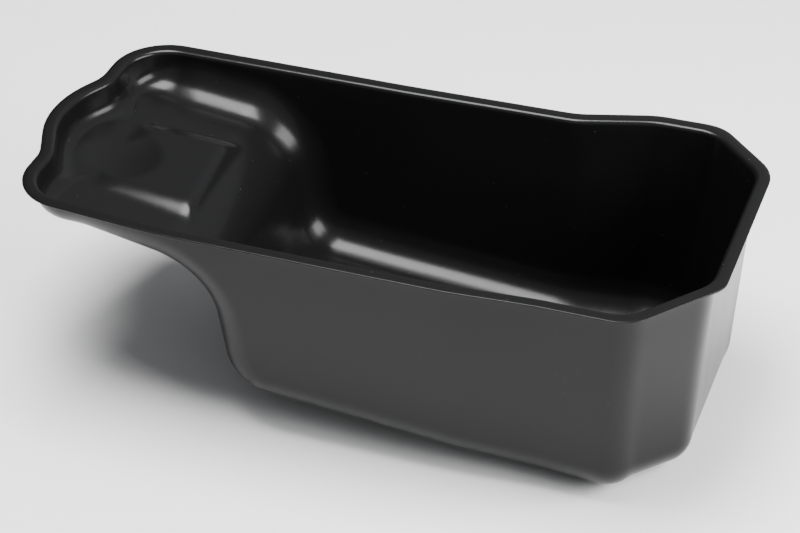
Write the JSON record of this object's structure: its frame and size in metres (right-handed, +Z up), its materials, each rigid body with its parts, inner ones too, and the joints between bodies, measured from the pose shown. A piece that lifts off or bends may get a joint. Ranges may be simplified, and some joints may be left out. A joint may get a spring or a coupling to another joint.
{
  "type": "engine oil sump",
  "caption": "Deep-drawn steel engine oil sump: shallow shelf stepping down to a deep sloping well, narrow flange around the rim, and a screwed drain plug in the floor.",
  "frame": {"origin": "on the flange's sealing face, in the middle of the flat at the shallow end", "axes": "+X along the pan from the shallow end to the deep end, +Z up and square to the sealing face, +Y across the pan"},
  "size_m": [0.5205, 0.2634, 0.1702],
  "materials": {
    "pan_paint": "satin black dip coat",
    "boss_paint": "satin black dip coat",
    "washer_copper": "annealed copper",
    "plug_steel": "zinc plated"
  },
  "bodies": {
    "pan": {"pan_shell": "pan_paint", "drain_boss": "boss_paint"},
    "washer": {"plug_washer": "washer_copper"},
    "plug": {"drain_plug": "plug_steel"}
  },
  "joints": [
    {"name": "washer_slide", "type": "slide", "parent": "pan", "child": "washer", "axis": [-0.091, -0.0064, -0.9958], "range_m": [0, 0.012]},
    {"name": "plug_turn", "type": "hinge", "parent": "washer", "child": "plug", "pos_m": [0.4118, 0.002, -0.1619], "axis": [-0.091, -0.0064, -0.9958], "range_deg": [0, 2880]}
  ],
  "couplings": [
    {"joint": "washer_slide", "follows": "plug_turn", "m_per_rad": 0.00023873}
  ]
}
